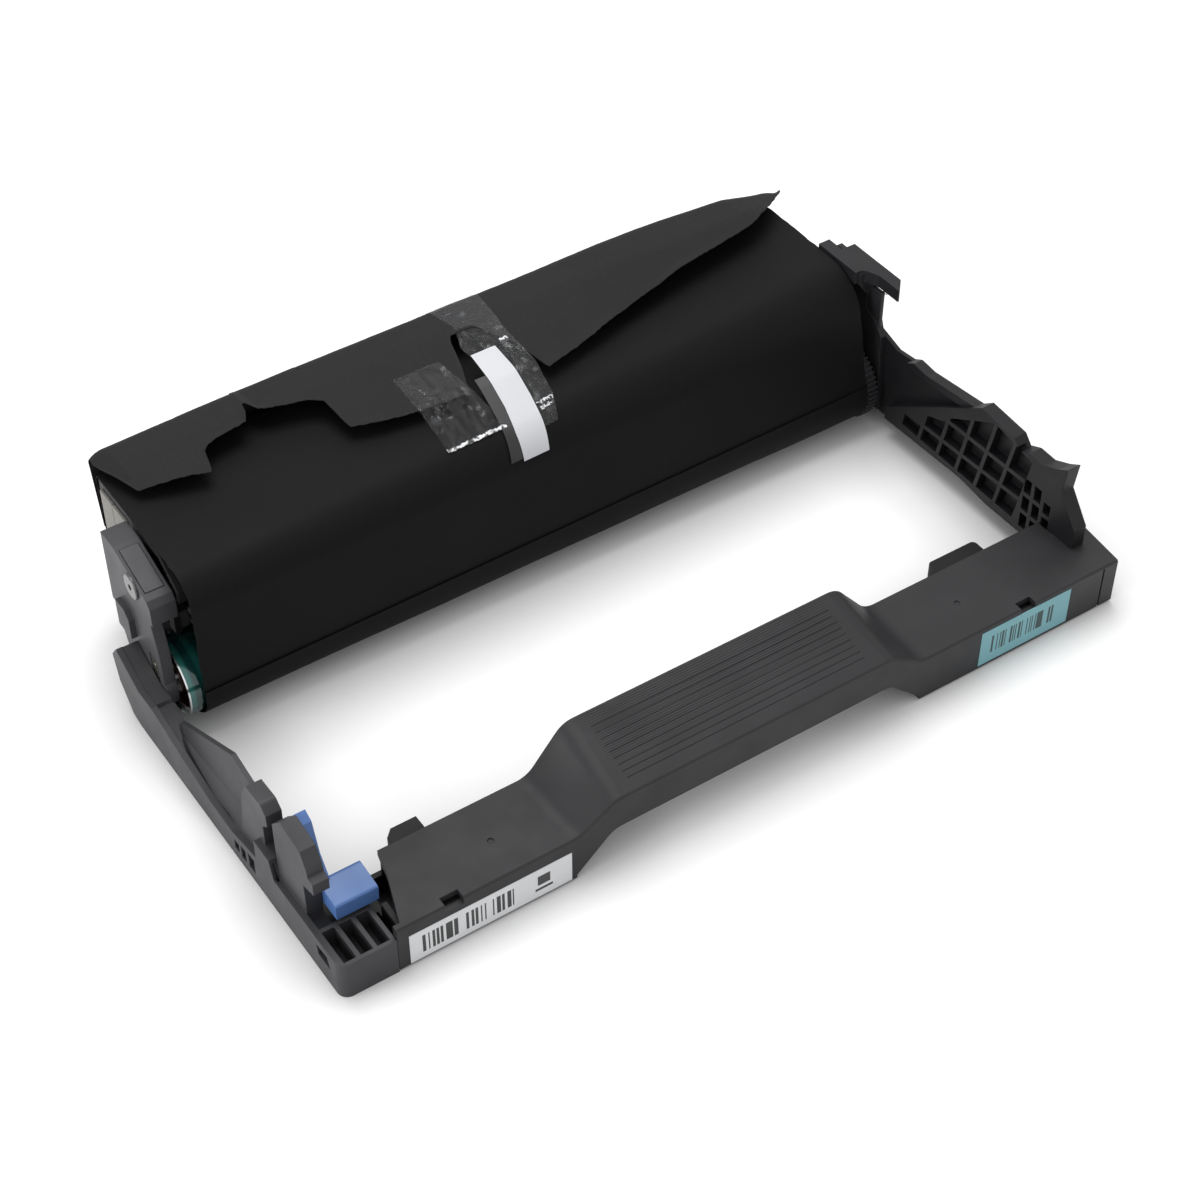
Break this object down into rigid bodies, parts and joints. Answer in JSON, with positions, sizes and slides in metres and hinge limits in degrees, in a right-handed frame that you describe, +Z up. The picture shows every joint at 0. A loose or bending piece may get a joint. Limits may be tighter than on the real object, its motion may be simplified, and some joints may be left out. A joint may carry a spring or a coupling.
{
  "type": "printer drum unit",
  "caption": "Laser printer drum unit: an open frame with a gripped front bar and two side arms that carry the drum and its cleaner box, wrapped in black protective paper.",
  "frame": {"origin": "on the surface that the unit stands on, under the middle of its bounding box", "axes": "+X to the right along the drum, +Y from the front bar to the drum, +Z up"},
  "size_m": [0.338, 0.21, 0.082],
  "materials": {
    "grey_cover": "fine grained dark grey moulding",
    "black_plastic": "black moulding",
    "arm_plastic": "dark grey moulding",
    "end_plastic": "dark grey moulding",
    "gloss_black": "glossy black",
    "zinc_steel": "zinc plated",
    "bright_steel": "ground steel",
    "spring_steel": "drawn wire and strip",
    "green_drum": "glossy green photoconductor coating with a bare bright rim",
    "brown_plastic": "brown moulding",
    "gear_plastic": "dark moulding",
    "white_plastic": "white slippery moulding",
    "soft_rubber": "black conductive rubber",
    "blade_rubber": "amber urethane rubber",
    "clear_film": "clear polyester film",
    "felt": "grey felt",
    "grey_foam": "fine grey foam",
    "black_paper": "black paper with a slight sheen",
    "clear_tape": "wrinkled clear tape",
    "white_strip": "white printed strip",
    "dark_strip": "black strip",
    "white_label": "white label with plain bars",
    "teal_label": "teal label with plain bars",
    "blue_plastic": "light blue moulding"
  },
  "bodies": {
    "frame": {"front_bar_cover": "grey_cover", "front_bar_base": "black_plastic", "bar_screws": "zinc_steel", "right_arm": "arm_plastic", "left_arm": "arm_plastic", "left_end_cap": "end_plastic", "left_cap_panel": "end_plastic", "left_guide_boss": "gloss_black", "right_end_bracket": "end_plastic", "bracket_pin": "zinc_steel", "end_screws": "zinc_steel", "drum_shaft": "bright_steel", "ground_strip": "spring_steel", "roller_bearings": "white_plastic", "roller_springs": "spring_steel", "cleaner_housing": "end_plastic", "cleaner_lid": "end_plastic", "blade_holder": "zinc_steel", "cleaning_blade": "blade_rubber", "recovery_film": "clear_film", "blade_seals": "felt", "end_foam": "grey_foam", "protective_paper": "black_paper", "long_tape": "clear_tape", "short_tape": "clear_tape", "notice_strip": "white_strip", "dark_strip": "dark_strip", "front_label_white": "white_label", "front_label_teal": "teal_label", "lever_spring": "spring_steel"},
    "drum": {"drum_tube": "green_drum", "drum_flange": "brown_plastic", "drum_gear": "gear_plastic"},
    "roller": {"charge_roller": "soft_rubber", "charge_roller_shaft": "bright_steel"},
    "lever": {"release_lever": "blue_plastic"}
  },
  "joints": [
    {"name": "drum_spin", "type": "hinge", "parent": "frame", "child": "drum", "pos_m": [0, 0.042, 0.0175], "axis": [1, 0, 0], "continuous": true},
    {"name": "roller_spin", "type": "hinge", "parent": "frame", "child": "roller", "pos_m": [0, 0.052, 0.03631], "axis": [1, 0, 0], "continuous": true},
    {"name": "lever_press", "type": "hinge", "parent": "frame", "child": "lever", "pos_m": [-0.1605, -0.06885, 0.031], "axis": [1, 0, 0], "range_deg": [0, 12], "stiffness_Nm_per_rad": 0.08, "springref_deg": -14.32, "deforming": ["lever_spring"]}
  ],
  "couplings": [
    {"joint": "roller_spin", "follows": "drum_spin", "ratio": -2.5}
  ]
}
